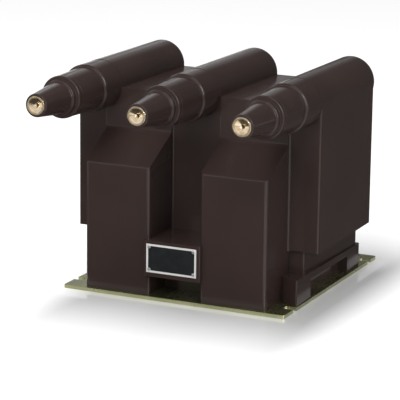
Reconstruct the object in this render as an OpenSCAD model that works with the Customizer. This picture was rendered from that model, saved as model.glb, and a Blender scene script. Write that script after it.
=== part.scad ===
// Three-phase voltage transformer, cast in resin on a steel base plate, with plug-in fused bushings.
// Frame: X to the right, Y to the back, Z up; the origin is the middle of the base plate's underside.
// Lengths are in millimetres. Front distances are measured from the middle of the plate to the front.

/* [Base plate] */
// Width of the base plate
plate_w = 337; // [334:1:350]
// Depth of the base plate
plate_d = 351; // [348:1:370]
// Thickness of the base plate
plate_t = 5; // [5:0.5:8]
// Corner radius of the base plate
plate_corner_r = 3; // [2:0.5:12]
// Width of the open fixing slots
slot_w = 12; // [9:0.5:12]
// Distance between the left and right slot centres
slot_pitch_x = 316; // [310:1:320]
// Front slot centres, from the front edge of the plate
front_slot_inset = 37.5; // [34:0.5:37.5]
// Rear slot centres, from the rear edge of the plate
rear_slot_inset = 28.5; // [20:0.5:40]

/* [Tubes and phases] */
// Distance between neighbouring phases
phase_pitch = 150; // [144:1:160]
// Height of the fuse tubes' axes above the floor
tube_z = 281; // [275:1:295]
// Outside diameter of the fuse tubes
tube_d = 70; // [66:0.5:76]
// How much thinner the tubes are ahead of the slabs, on the diameter
tube_step = 0.8; // [0.4:0.1:2]
// Front end of the tubes, ahead of the plate's middle
tube_front = 148; // [140:1:156]
// Rear end of the tubes, behind the plate's middle
tube_rear = 103; // [101:0.5:108]
// Rounding of the tubes' ends
tube_end_r = 4; // [2:0.5:5]

/* [Casting] */
// Front face of the slabs, ahead of the plate's middle
trunk_front = 98; // [94:1:100]
// Rear face of the slabs, behind the plate's middle
trunk_rear = 99; // [94:1:101]
// Underside of the slabs above the floor
trunk_bottom = 73; // [65:1:78]
// How far the blocks between the tubes stop below the tube axes
block_drop = 1.5; // [1:0.5:5]
// Distance of each unit's middle from the middle of the plate
unit_x = 88; // [86:0.5:90]
// Width of each pillar
pillar_w = 99; // [94:1:104]
// Front face of the pillars, ahead of the plate's middle
pillar_front = 168; // [165:1:170]
// Height of the pillars' front edge above the floor
pillar_front_top = 185; // [182:1:196]
// Height at which the pillars' slope meets their upper front face
slope_top = 222; // [212:1:232]
// Rounding of the inner corner where the slope meets the upper front face
slope_blend_r = 12; // [3:1:20]
// How far the upper front face stands ahead of the slabs
block_proud = 3; // [1:0.5:8]
// Rounding of the pillars' upright edges
pillar_edge_r = 5.5; // [2:0.5:8]
// Rounding of the slabs' upright edges
trunk_edge_r = 3; // [1:0.5:5]
// Draft of the casting's faces, in degrees
draft = 0.9; // [0.4:0.1:1.2]
// Rounding of the inner corners where the pillars meet the slabs
root_r = 3; // [1:0.5:5]
// Height of the foot block above the plate, at its front
foot_h = 37; // [34:0.5:42]
// Front face of the foot block between the pillars, ahead of the plate's middle
foot_front = 118; // [105:1:125]
// Distance of the foot block's sides from the middle, at the front
foot_half_w = 167.5; // [166:0.5:168]
// Front tip of the right rail, ahead of the plate's middle
rail_front = 131; // [126:1:131]
// Inner end of the right rail's front face, ahead of the plate's middle
rail_corner = 111; // [106:1:118]
// Rear face of the foot block, behind the plate's middle
foot_rear = 117; // [114:1:120]
// Front end of the side recess, ahead of the plate's middle
recess_front = 78; // [60:1:90]
// Rear end of the side recess, behind the plate's middle
recess_rear = 67; // [50:1:80]
// Distance of the side recess's inner wall from the middle
recess_wall_x = 151; // [148:1:156]
// Height of the side recess above the plate
recess_h = 27; // [18:0.5:30]
// Width of the neck under the slabs
neck_w = 322; // [318:1:324]
// Front face of the neck, ahead of the plate's middle
neck_front = 88; // [82:1:90]
// Rear face of the neck, behind the plate's middle
neck_rear = 109; // [100:1:112]
// Width of the bridge's face that carries the nameplate
bridge_w = 85; // [82:1:95]
// Underside of the bridge above the floor
bridge_bottom = 34; // [24:1:36]
// Top of the bridge above the floor
bridge_top = 85; // [82:1:95]
// How far the bridge's face stands ahead of the pillars
bridge_proud = 8; // [5:0.5:14]

/* [Bushings] */
// Overall length of a bushing ahead of its tube
bushing_l = 137; // [130:1:145]
// Diameter of the cone's tip
cone_tip_d = 32; // [31:0.5:34]
// Diameter of the cone's base
cone_base_d = 44; // [40:0.5:46]
// Length of the cone, with the brass face that stands ahead of it
cone_l = 61; // [55:1:66]
// Bevel round the cone's tip
cone_tip_bevel = 1.2; // [0.5:0.1:2]
// Diameter of the small ring at the cone's base
small_ring_d = 49.5; // [48:0.5:54]
// Length of the small ring
small_ring_l = 8; // [6:0.5:14]
// Diameter of the large ring
large_ring_d = 59; // [57:0.5:62]
// Length of the large ring
large_ring_l = 8.5; // [5:0.5:12]
// Width of the groove behind the large ring
ring_groove_l = 1.5; // [1:0.5:3]
// Depth of the groove behind the large ring
ring_groove_depth = 1; // [0.5:0.25:2]
// Diameter of the collar where it meets the tube
collar_d = 62; // [60:0.5:64]
// Rounding of the rings
ring_edge_r = 1.8; // [0.5:0.1:3]
// Diameter of the spigot inside the tube
spigot_d = 48; // [46:0.5:50]
// Length of the spigot
spigot_l = 30; // [24:1:34]
// Thickness of the seal ring's cord
seal_cord_d = 2.8; // [2:0.1:3.4]
// Seal ring's distance from the tube's front end
seal_setback = 9; // [6:0.5:12]

/* [Contacts and fuses] */
// Diameter of the brass face at the tip
contact_d = 26.2; // [25:0.2:28]
// Thickness of the brass face
contact_t = 8; // [6:0.5:10]
// How far the brass face stands ahead of the resin tip
contact_proud = 1.5; // [0.5:0.5:3]
// Width of the flat rim around the dished face
contact_rim = 2.4; // [1:0.1:4]
// Depth of the dish
dish_depth = 4; // [2:0.5:5]
// Diameter of the socket in the contact, the tapping drill of an M6 thread
socket_d = 5; // [4:0.1:7]
// Depth of the socket from the dish
socket_depth = 18; // [12:1:24]
// Diameter of the stem
stem_d = 14; // [12:0.5:16]
// Outside diameter of the cups that hold the fuse
cup_d = 33; // [31:0.5:34]
// Thickness of a cup's floor
cup_floor = 6; // [4:0.5:8]
// Length of the fuse link
fuse_l = 195; // [190:1:200]
// Diameter of the fuse's ceramic tube
fuse_d = 25.4; // [24:0.2:26]
// Diameter of the fuse's end caps
fuse_cap_d = 28; // [27:0.2:29]
// Length of the fuse's end caps
fuse_cap_l = 18; // [14:1:22]

/* [Cores and windings] */
// Front face of the cores, ahead of the plate's middle
core_front = 152; // [148:1:154]
// Rear face of the cores, behind the plate's middle
core_rear = 15; // [10:1:20]
// Underside of the cores above the floor
core_bottom = 12; // [10:1:14]
// Top of the cores above the floor
core_top = 184; // [180:1:184]
// Width of a core's limbs, front to back
limb_w = 40; // [36:1:42]
// Height of a core's yokes
yoke_h = 35; // [30:1:38]
// Thickness of a core's stack, left to right
core_stack = 44; // [38:1:46]
// Inner diameter of the secondary windings
secondary_in_d = 64; // [62:1:66]
// Outer diameter of the secondary windings
secondary_out_d = 84; // [80:1:88]
// Inner diameter of the primary windings
primary_in_d = 96; // [92:1:100]
// Outer diameter of the primary windings
primary_out_d = 140; // [132:1:142]
// Length of the primary windings
primary_l = 62; // [55:1:64]
// Resin of the coil blocks outside the windings
coil_wall = 1.5; // [1:0.5:2]
// Diameter of the leads
lead_d = 4; // [3:0.5:6]

/* [Terminals and fixings] */
// Height of the secondary terminals above the plate
terminal_h = 19; // [16:0.5:21]
// Half the distance between the two terminals of a unit
terminal_half = 22; // [20:0.5:24]
// Diameter of the brass inserts behind the terminals
terminal_insert_d = 14; // [12:0.5:16]
// Length of the brass inserts
terminal_insert_l = 16; // [15:1:20]
// Thread diameter of the terminal screws
terminal_screw_d = 6; // [5:0.5:6]
// Length of the terminal screws under the head
terminal_screw_l = 13; // [10:1:14]
// Thread diameter of the screws that hold the plate
plate_screw_d = 8; // [6:0.5:8]
// Head diameter of the screws that hold the plate
plate_screw_head_d = 16; // [14:0.5:16]
// Length of the screws that hold the plate
plate_screw_l = 16; // [14:1:18]
// Diameter of the threaded inserts above the plate
plate_insert_d = 13; // [12:0.5:15]
// Length of the threaded inserts above the plate
plate_insert_l = 16; // [15:1:20]
// Distance of the plate screws from the middle, left and right
plate_screw_x = 124; // [122:0.5:126]
// Thread diameter of the earth stud
earth_d = 8; // [6:0.5:10]
// Height of the earth stud above the plate
earth_l = 22; // [20:1:28]
// Earth stud's distance from the rear edge of the plate
earth_inset = 26; // [20:1:34]

/* [Nameplate] */
// Width of the nameplate
nameplate_w = 76; // [70:0.5:78]
// Height of the nameplate
nameplate_h = 40.5; // [36:0.5:42]
// Thickness of the nameplate
nameplate_t = 1.2; // [0.8:0.1:2]
// Width of the nameplate's border
nameplate_border = 4.6; // [3:0.2:6]
// Depth of the nameplate's field
field_depth = 0.4; // [0.2:0.1:0.6]
// Distance of the nameplate screws from its edges
nameplate_screw_inset = 4.4; // [3.6:0.2:5]
// Head diameter of the nameplate screws
nameplate_screw_d = 4.6; // [3.6:0.2:5.4]

/* [Hidden] */

RESIN = [0.20, 0.13, 0.11];
ZINC = [0.62, 0.60, 0.36];
STEEL = [0.75, 0.75, 0.76];
BRASS = [0.85, 0.72, 0.42];
COPPER = [0.72, 0.42, 0.26];
IRON = [0.42, 0.43, 0.46];
CERAMIC = [0.93, 0.92, 0.88];
RUBBER = [0.08, 0.08, 0.08];
DARK = [0.10, 0.10, 0.11];

$fn = 64;
arc_step = 11;
PHASES = [-1, 0, 1];
SIDES = [-1, 1];

// Clearances: a sliding or threaded fit, and a cut that runs past a face
fit_gap = 0.1;
cut = 1;

// Tubes, slabs and blocks
tube_r = tube_d / 2;
tube_front_r = (tube_d - tube_step) / 2;
trunk_half = phase_pitch + tube_r;
block_top = tube_z - block_drop;
block_front = trunk_front + block_proud;
foot_top = plate_t + foot_h;
neck_bottom = foot_top - taper(rail_front + foot_rear) - cut;
neck_top = trunk_bottom + taper(trunk_front + trunk_rear) + cut;
pillar_edge_x = unit_x - pillar_w / 2;
bridge_face = pillar_front + bridge_proud;

// Roundings of the casting's smaller edges
foot_edge_r = 3;
rail_edge_r = 1.5;
recess_edge_r = 2;
neck_edge_r = 3;
slab_edge_r = 2.5;
shoulder_r = 4;
block_edge_r = 1.5;
block_top_r = 2;
bridge_edge_r = 2;

// Bushings, in their own frame: z = 0 at the tube's front end, the tip at z = bushing_l
cone_start = bushing_l - cone_l;
resin_cone_l = cone_l - contact_proud;
small_ring_start = cone_start - small_ring_l;
large_ring_start = small_ring_start - large_ring_l;
seal_r = (spigot_d + 2 * fit_gap) / 2 - seal_cord_d / 2;
seal_groove_w = seal_cord_d + 1;
seal_groove_r = seal_r - seal_cord_d / 2 - fit_gap / 2;

// Fuses: the front cup stands in the bushing, the rear cup at the end of the fuse chamber
cup_r = cup_d / 2;
cup_bore_r = fuse_cap_d / 2 + fit_gap;
cup_l = cup_floor + fuse_cap_l;
chamber_r = cup_r + 0.5;
front_cup_z = 43;
fuse_front_z = front_cup_z - cup_floor;
fuse_rear_z = fuse_front_z - fuse_l;
chamber_end_z = fuse_rear_z - cup_floor;
chamber_end_y = -tube_front - chamber_end_z;

// Cores and windings
limb_y = core_rear - limb_w / 2;
window_bottom = core_bottom + yoke_h;
window_top = core_top - yoke_h;
window_margin = 5;
primary_top = window_top - window_margin;
secondary_bottom = window_bottom + window_margin;
secondary_top = window_top - window_margin;
coil_step_z = primary_top - primary_l - coil_wall;

// Leads
lead_r = lead_d / 2;
sleeve_r = lead_r + 0.7;
lead_setback = 10;
lead_y = chamber_end_y + lead_setback;
lead_z = block_top - 2 * lead_d;
primary_mean_r = (primary_in_d + primary_out_d) / 4;
primary_lead_dx = sqrt(pow(primary_mean_r, 2) - pow(lead_y - limb_y, 2));
secondary_mean_r = (secondary_in_d + secondary_out_d) / 4;
secondary_lead_y = limb_y + sqrt(pow(secondary_mean_r, 2) - pow(terminal_half, 2));

// Coil blocks: a riser and a bar carry the high-voltage leads up to the fuse chambers' ends
coil_upper_w = primary_out_d + 2 * coil_wall;
coil_lower_w = secondary_out_d + 2 * coil_wall;
riser_front = min(core_rear, chamber_end_y);
riser_rear = lead_y + 2 * lead_d;
riser_top = tube_z - chamber_r - 2 * lead_d;
bar_end = max(unit_x + coil_upper_w / 2, phase_pitch + 2 * lead_d);
bar_top = lead_z + lead_d;

// Terminals and fixings
terminal_z = plate_t + terminal_h;
terminal_insert_front = foot_rear - terminal_insert_l;
terminal_washer_t = 1.5;
terminal_head_h = 4;
plate_screw_front = pillar_front - 21;
plate_screw_rear = foot_rear - 25;
plate_screw_ys = [-plate_screw_front, 0, plate_screw_rear];
screw_head_h = (plate_screw_head_d - plate_screw_d) / 2;
earth_y = plate_d / 2 - earth_inset;
earth_washer_t = 1.6;
earth_nut_h = 6.5;
earth_across_flats = 13;
earth_nut_face_d = earth_across_flats - 1;
thread_relief_l = 1.5;
thread_relief_depth = 0.8;

// Nameplate
nameplate_z = (bridge_bottom + bridge_top) / 2 + 1;
nameplate_shank_r = 1.2;
nameplate_shank_l = 5;

// Points of a closed outline with each corner p[i] turned into an arc of radius r[i]
function arc_corner(a, b, c, r) =
    let (
        u = (a - b) / norm(a - b),
        v = (c - b) / norm(c - b),
        half = acos(u * v) / 2,
        middle = b + (u + v) / norm(u + v) * r / sin(half),
        start = b + u * r / tan(half) - middle,
        sweep = 180 - 2 * half,
        turn = sign(u[0] * v[1] - u[1] * v[0]),
        steps = max(3, ceil(sweep / arc_step))
    )
    r <= 0 ? [b] : [
        for (i = [0 : steps])
            let (t = -turn * sweep * i / steps)
            middle + [
                start[0] * cos(t) - start[1] * sin(t),
                start[0] * sin(t) + start[1] * cos(t)
            ]
    ];

function rounded(points, radii) =
    let (n = len(points))
    [
        for (i = [0 : n - 1])
            each arc_corner(points[(i + n - 1) % n], points[i], points[(i + 1) % n], radii[i])
    ];

// How far a drafted face moves over a length
function taper(l) = l * tan(draft);

// A shape drawn from the side, as [distance to the back, height], and drawn out from x0 to x1
module side_prism(x0, x1, points) {
    translate([x0, 0, 0])
        rotate([90, 0, 90])
            linear_extrude(x1 - x0)
                polygon(points);
}

// An upright block with rounded upright edges, from its two opposite corners
module upright_block(low, high, r) {
    outline = [[low[0], low[1]], [high[0], low[1]], [high[0], high[1]], [low[0], high[1]]];
    translate([0, 0, low[2]])
        linear_extrude(high[2] - low[2])
            polygon(rounded(outline, [r, r, r, r]));
}

// Turns a shape built along +Z so that +Z points to the front, and sets it at a phase's tube
module at_phase(phase) {
    translate([phase * phase_pitch, -tube_front, tube_z])
        rotate([90, 0, 0])
            children();
}

// A disc from z = 0 to z = h with a rounded far edge
module rounded_disc(r, h, edge_r) {
    cylinder(r = r, h = h - edge_r);
    cylinder(r = r - edge_r, h = h);
    translate([0, 0, h - edge_r])
        rotate_extrude()
            translate([r - edge_r, 0])
                circle(r = edge_r);
}

// A round rod between two points
module rod(a, b, r) {
    d = b - a;
    translate(a)
        rotate([0, acos(d[2] / norm(d)), atan2(d[1], d[0])])
            cylinder(r = r, h = norm(d));
}

// A lead through a list of points, with a short crimp sleeve along Y at each joint
module lead(points) {
    for (i = [0 : len(points) - 2])
        rod(points[i], points[i + 1], lead_r);
    for (i = [1 : len(points) - 2])
        translate(points[i])
            rotate([90, 0, 0])
                cylinder(r = sleeve_r, h = 2 * sleeve_r, center = true);
}

// Base plate: open U slots at the sides, countersunk holes below
module base_plate_outline() {
    w = plate_w / 2;
    d = plate_d / 2;
    r = plate_corner_r;
    difference() {
        polygon(rounded([[-w, -d], [w, -d], [w, d], [-w, d]], [r, r, r, r]));
        for (side = SIDES, y = [-d + front_slot_inset, d - rear_slot_inset])
            translate([side * slot_pitch_x / 2, y]) {
                circle(d = slot_w);
                translate([side < 0 ? -plate_w / 4 : 0, -slot_w / 2])
                    square([plate_w / 4, slot_w]);
            }
    }
}

module base_plate() {
    color(ZINC)
        difference() {
            linear_extrude(plate_t)
                base_plate_outline();
            for (side = SIDES, y = plate_screw_ys)
                translate([side * plate_screw_x, y, 0]) {
                    cylinder(d = plate_screw_d + 2 * fit_gap, h = plate_t + cut);
                    cylinder(
                        r1 = plate_screw_head_d / 2 + fit_gap,
                        r2 = plate_screw_d / 2 + fit_gap,
                        h = screw_head_h
                    );
                }
        }
}

// Foot block of the casting: its right rail reaches forward beside the pillar
module foot_block() {
    tip = foot_half_w;
    heel = foot_half_w - taper(rail_front + foot_rear);
    left = foot_half_w - taper(rail_front - trunk_front);
    inner = unit_x + pillar_w / 2;
    outline = [
        [-left, -trunk_front], [-unit_x, -trunk_front], [-unit_x, -foot_front], [unit_x, -foot_front],
        [unit_x, -rail_corner], [inner, -rail_corner], [tip, -rail_front], [heel, foot_rear],
        [-heel, foot_rear]
    ];
    intersection() {
        translate([0, 0, plate_t])
            linear_extrude(foot_h)
                polygon(rounded(outline, [
                    foot_edge_r, 0, 0, 0, 0, 0, rail_edge_r, foot_edge_r, foot_edge_r
                ]));
        side_prism(-tip, tip, [
            [-rail_front, plate_t - cut], [foot_rear, plate_t - cut],
            [foot_rear, foot_top - taper(rail_front + foot_rear)], [-rail_front, foot_top]
        ]);
    }
}

// Recess in the right side of the foot block, open below and to the right
module side_recess() {
    top = plate_t + recess_h;
    side_prism(recess_wall_x, plate_w, rounded([
        [-recess_front, plate_t - cut], [recess_rear, plate_t - cut],
        [recess_rear, top - taper(recess_front + recess_rear)], [-recess_front, top]
    ], [0, 0, recess_edge_r, recess_edge_r]));
}

// Plan of a pillar from a front line to the middle of the slabs, wider towards the back by the draft
module pillar_plan(front, edge_r) {
    near = pillar_w / 2 + taper(pillar_front - front);
    far = pillar_w / 2 + taper(pillar_front);
    polygon(rounded([[-near, -front], [near, -front], [far, 0], [-far, 0]], [edge_r, edge_r, 0, 0]));
}

// One pillar: its plan with rounded upright edges, cut by its side profile with the sloped shoulder
module pillar(side) {
    profile = [
        [-pillar_front, plate_t], [0, plate_t], [0, block_top], [-block_front, block_top],
        [-block_front, slope_top], [-pillar_front, pillar_front_top]
    ];
    translate([side * unit_x, 0, 0])
        intersection() {
            union() {
                linear_extrude(slope_top + slope_blend_r)
                    pillar_plan(pillar_front, pillar_edge_r);
                linear_extrude(block_top)
                    pillar_plan(block_front, block_edge_r);
            }
            side_prism(-pillar_w, pillar_w, rounded(profile, [0, 0, 0, block_top_r, slope_blend_r, shoulder_r]));
        }
}

// Rounded inner corners where a pillar meets the front face of the slabs
module pillar_root(side) {
    x = pillar_w / 2 + taper(pillar_front - trunk_front);
    far = x + root_r + cut;
    front = -trunk_front - root_r - cut;
    translate([side * unit_x, 0, trunk_bottom])
        linear_extrude(block_top - trunk_bottom)
            polygon(rounded([
                [-far, -trunk_front + cut], [-far, -trunk_front], [-x, -trunk_front], [-x, front],
                [x, front], [x, -trunk_front], [far, -trunk_front], [far, -trunk_front + cut]
            ], [0, 0, root_r, 0, 0, root_r, 0, 0]));
}

// Slabs and the blocks between the tubes, their underside rising towards the back
module slabs() {
    rise = taper(trunk_front + trunk_rear);
    intersection() {
        upright_block([-trunk_half, -trunk_front, 0], [trunk_half, trunk_rear, block_top], trunk_edge_r);
        side_prism(-trunk_half, trunk_half, rounded([
            [-trunk_front, trunk_bottom], [trunk_rear, trunk_bottom + rise],
            [trunk_rear, block_top], [-trunk_front, block_top]
        ], [slab_edge_r, slab_edge_r, 0, 0]));
    }
}

// Bridge between the pillars, whose face carries the nameplate
module bridge() {
    upright_block(
        [-bridge_w / 2, -bridge_face, bridge_bottom],
        [bridge_w / 2, -pillar_front + pillar_edge_r, bridge_top],
        bridge_edge_r
    );
    translate([-pillar_edge_x - cut, -pillar_front, bridge_bottom])
        cube([2 * (pillar_edge_x + cut), pillar_front - neck_front + cut, bridge_top - bridge_bottom]);
}

// The tube's outside at one phase, thinner ahead of the slab's front face
module tube_outside(phase) {
    at_phase(phase) {
        translate([0, 0, -(tube_front - trunk_front)])
            rounded_disc(tube_front_r, tube_front - trunk_front, tube_end_r);
        translate([0, 0, -(tube_front - trunk_front)])
            mirror([0, 0, 1])
                rounded_disc(tube_r, trunk_front + tube_rear, tube_end_r);
    }
}

module casting_outside() {
    difference() {
        foot_block();
        side_recess();
    }
    upright_block([-neck_w / 2, -neck_front, neck_bottom], [neck_w / 2, neck_rear, neck_top], neck_edge_r);
    slabs();
    for (side = SIDES) {
        pillar(side);
        pillar_root(side);
    }
    bridge();
    for (phase = PHASES)
        tube_outside(phase);
}

// Everything that the casting holds, as solids to be cut out of it
module casting_cavities() {
    for (phase = PHASES)
        at_phase(phase) {
            translate([0, 0, -spigot_l - fit_gap])
                cylinder(d = spigot_d + 2 * fit_gap, h = spigot_l + fit_gap + cut);
            translate([0, 0, chamber_end_z])
                cylinder(r = chamber_r, h = -chamber_end_z);
        }
    for (side = SIDES)
        unit_space(side);
    secondary_leads_shape();
    terminal_insert_blanks();
    plate_insert_blanks();
    nameplate_shanks(fit_gap);
}

module resin_body() {
    color(RESIN)
        difference() {
            casting_outside();
            casting_cavities();
        }
}

// Bushing: the cone and its rings, the collar, and the spigot that fills the tube's mouth
module bushing_shape() {
    cylinder(r1 = collar_d / 2, r2 = large_ring_d / 2 - 0.3, h = large_ring_start - ring_groove_l);
    cylinder(r = large_ring_d / 2 - ring_groove_depth, h = large_ring_start + cut);
    translate([0, 0, large_ring_start])
        rounded_disc(large_ring_d / 2, large_ring_l, ring_edge_r);
    translate([0, 0, small_ring_start])
        rounded_disc(small_ring_d / 2, small_ring_l, ring_edge_r);
    translate([0, 0, cone_start])
        cylinder(r1 = cone_base_d / 2, r2 = cone_tip_d / 2, h = resin_cone_l - cone_tip_bevel);
    translate([0, 0, cone_start + resin_cone_l - cone_tip_bevel])
        cylinder(r1 = cone_tip_d / 2, r2 = cone_tip_d / 2 - cone_tip_bevel, h = cone_tip_bevel);
    translate([0, 0, -spigot_l])
        cylinder(d = spigot_d, h = spigot_l);
}

module bushing(phase) {
    color(RESIN)
        at_phase(phase)
            difference() {
                bushing_shape();
                translate([0, 0, -seal_setback - seal_groove_w / 2])
                    difference() {
                        cylinder(d = spigot_d + cut, h = seal_groove_w);
                        cylinder(r = seal_groove_r, h = seal_groove_w);
                    }
                translate([0, 0, -spigot_l - cut])
                    cylinder(r = chamber_r, h = spigot_l + front_cup_z + cut);
                cylinder(d = stem_d, h = bushing_l);
                translate([0, 0, bushing_l - contact_t])
                    cylinder(d = contact_d, h = contact_t + cut);
            }
}

module bushing_seal(phase) {
    color(RUBBER)
        at_phase(phase)
            translate([0, 0, -seal_setback])
                rotate_extrude()
                    translate([seal_r, 0])
                        circle(d = seal_cord_d);
}

// A cup that holds one cap of the fuse, its floor at z = 0 and its mouth towards -Z
module cup() {
    difference() {
        translate([0, 0, -cup_l])
            cylinder(r = cup_r, h = cup_l);
        translate([0, 0, -cup_l - cut])
            cylinder(r = cup_bore_r, h = cup_l - cup_floor + cut);
    }
}

// Brass contact: the dished face with its socket, the stem, and the front cup of the fuse
module contact(phase) {
    rim_r = contact_d / 2 - contact_rim;
    color(BRASS)
        at_phase(phase)
            difference() {
                union() {
                    translate([0, 0, bushing_l - contact_t])
                        cylinder(d = contact_d, h = contact_t);
                    translate([0, 0, front_cup_z - cut])
                        cylinder(d = stem_d, h = bushing_l - contact_t - front_cup_z + 2 * cut);
                    translate([0, 0, front_cup_z])
                        cup();
                }
                translate([0, 0, bushing_l - dish_depth])
                    cylinder(r1 = socket_d / 2, r2 = rim_r, h = dish_depth);
                translate([0, 0, bushing_l])
                    cylinder(r = rim_r, h = cut);
                translate([0, 0, bushing_l - dish_depth - socket_depth])
                    cylinder(d = socket_d, h = socket_depth + cut);
            }
}

module fuse(phase) {
    color(CERAMIC)
        at_phase(phase)
            translate([0, 0, fuse_rear_z]) {
                cylinder(d = fuse_d, h = fuse_l);
                cylinder(d = fuse_cap_d, h = fuse_cap_l);
                translate([0, 0, fuse_l - fuse_cap_l])
                    cylinder(d = fuse_cap_d, h = fuse_cap_l);
            }
}

module fuse_cup(phase) {
    color(BRASS)
        at_phase(phase)
            translate([0, 0, chamber_end_z])
                mirror([0, 0, 1])
                    cup();
}

// High-voltage leads: from a rear fuse cup across and down to the primary windings beside it
module hv_lead_shape(phase) {
    x = phase * phase_pitch;
    for (side = phase == 0 ? SIDES : [phase]) {
        outward = phase == 0 ? -1 : 1;
        foot_x = side * (unit_x + outward * primary_lead_dx);
        lead([
            [x, chamber_end_y, lead_z],
            [x, lead_y, lead_z],
            [foot_x, lead_y, lead_z],
            [foot_x, lead_y, primary_top]
        ]);
    }
}

module hv_lead(phase) {
    color(COPPER)
        hv_lead_shape(phase);
}

// Core of a unit: a closed frame whose front limb stands in the pillar, the rear one in the windings
module core_shape(side) {
    translate([side * unit_x - core_stack / 2, 0, 0])
        rotate([90, 0, 90])
            linear_extrude(core_stack)
                difference() {
                    translate([-core_front, core_bottom])
                        square([core_front + core_rear, core_top - core_bottom]);
                    translate([-core_front + limb_w, window_bottom])
                        square([core_front + core_rear - 2 * limb_w, window_top - window_bottom]);
                }
}

module core(side) {
    color(IRON)
        core_shape(side);
}

module winding_shape(side, bottom, top, in_d, out_d) {
    translate([side * unit_x, limb_y, bottom])
        difference() {
            cylinder(d = out_d, h = top - bottom);
            translate([0, 0, -cut])
                cylinder(d = in_d, h = top - bottom + 2 * cut);
        }
}

module primary_shape(side) {
    winding_shape(side, primary_top - primary_l, primary_top, primary_in_d, primary_out_d);
}

module secondary_shape(side) {
    winding_shape(side, secondary_bottom, secondary_top, secondary_in_d, secondary_out_d);
}

// The block that a unit's windings are cast in, wide round the primary and narrower below it, with the
// riser and the bar that hold the high-voltage leads
module coil_block_outside(side) {
    translate([side * unit_x - coil_upper_w / 2, limb_y - coil_upper_w / 2, coil_step_z])
        cube([coil_upper_w, coil_upper_w, window_top - coil_step_z]);
    translate([side * unit_x - coil_lower_w / 2, limb_y - coil_lower_w / 2, window_bottom])
        cube([coil_lower_w, coil_lower_w, coil_step_z - window_bottom + cut]);
    translate([side * unit_x - coil_upper_w / 2, riser_front, window_top - cut])
        cube([coil_upper_w, riser_rear - riser_front, riser_top - window_top + cut]);
    translate([side < 0 ? -bar_end : 0, chamber_end_y, riser_top - cut])
        cube([bar_end, riser_rear - chamber_end_y, bar_top - riser_top + cut]);
}

// The space that a unit's core and coil block fill in the casting
module unit_space(side) {
    translate([side * unit_x - core_stack / 2, -core_front, core_bottom])
        cube([core_stack, core_front + core_rear, core_top - core_bottom]);
    coil_block_outside(side);
}

// Coil block: the first casting, which holds a unit's windings and fills the core's window
module coil_block(side) {
    color(RESIN)
        difference() {
            unit_space(side);
            core_shape(side);
            primary_shape(side);
            secondary_shape(side);
            secondary_leads_shape();
            for (phase = PHASES)
                hv_lead_shape(phase);
        }
}

module primary_winding(side) {
    color(COPPER)
        primary_shape(side);
}

module secondary_winding(side) {
    color(COPPER)
        secondary_shape(side);
}

// Places its children at the four secondary terminals, on the axis of each insert
module at_terminals() {
    for (side = SIDES, half = SIDES)
        translate([side * unit_x + half * terminal_half, foot_rear, terminal_z])
            rotate([-90, 0, 0])
                children();
}

module secondary_leads_shape() {
    for (side = SIDES, half = SIDES) {
        x = side * unit_x + half * terminal_half;
        lead([
            [x, secondary_lead_y, secondary_bottom],
            [x, secondary_lead_y, terminal_z],
            [x, terminal_insert_front, terminal_z]
        ]);
    }
}

module secondary_leads() {
    color(COPPER)
        secondary_leads_shape();
}

module terminal_insert_blanks() {
    at_terminals()
        translate([0, 0, -terminal_insert_l])
            cylinder(d = terminal_insert_d, h = terminal_insert_l);
}

module terminal_inserts() {
    color(BRASS)
        difference() {
            terminal_insert_blanks();
            at_terminals()
                translate([0, 0, -terminal_screw_l - fit_gap])
                    cylinder(d = terminal_screw_d + 2 * fit_gap, h = terminal_screw_l + 2 * cut);
        }
}

module terminal_washers() {
    color(STEEL)
        at_terminals()
            difference() {
                cylinder(d = terminal_insert_d - 1, h = terminal_washer_t);
                translate([0, 0, -cut])
                    cylinder(d = terminal_screw_d + 0.6, h = terminal_washer_t + 2 * cut);
            }
}

// Slotted pan-head screws that clamp the secondary wires
module terminal_screws() {
    color(STEEL)
        at_terminals()
            difference() {
                union() {
                    translate([0, 0, terminal_washer_t - terminal_screw_l])
                        cylinder(d = terminal_screw_d, h = terminal_screw_l + cut);
                    translate([0, 0, terminal_washer_t])
                        rounded_disc(terminal_screw_d / 2 + 2.2, terminal_head_h, 1.2);
                }
                translate([-terminal_insert_d, -0.7, terminal_washer_t + terminal_head_h - 1.8])
                    cube([2 * terminal_insert_d, 1.4, 2 + cut]);
            }
}

// Places its children at the screws that hold the plate to the casting
module at_plate_screws() {
    for (side = SIDES, y = plate_screw_ys)
        translate([side * plate_screw_x, y, 0])
            children();
}

module plate_insert_blanks() {
    at_plate_screws()
        translate([0, 0, plate_t])
            cylinder(d = plate_insert_d, h = plate_insert_l);
}

module plate_inserts() {
    color(STEEL)
        difference() {
            plate_insert_blanks();
            at_plate_screws()
                cylinder(d = plate_screw_d + 2 * fit_gap, h = plate_screw_l + fit_gap);
        }
}

module plate_screws() {
    color(STEEL)
        at_plate_screws()
            difference() {
                union() {
                    cylinder(d1 = plate_screw_head_d, d2 = plate_screw_d, h = screw_head_h);
                    cylinder(d = plate_screw_d, h = plate_screw_l);
                }
                translate([0, 0, -cut])
                    cylinder(d = 5.8, h = 2.6 + cut, $fn = 6);
            }
}

// Places its children on the face of the bridge, with +Z pointing to the front
module on_bridge_face() {
    translate([0, -bridge_face, nameplate_z])
        rotate([90, 0, 0])
            children();
}

module at_nameplate_screws() {
    for (side = SIDES, level = SIDES)
        translate([
            side * (nameplate_w / 2 - nameplate_screw_inset),
            level * (nameplate_h / 2 - nameplate_screw_inset),
            0
        ])
            children();
}

module nameplate_shanks(gap) {
    on_bridge_face()
        at_nameplate_screws()
            translate([0, 0, -nameplate_shank_l - gap])
                cylinder(r = nameplate_shank_r + gap, h = nameplate_shank_l + nameplate_t + cut);
}

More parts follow.
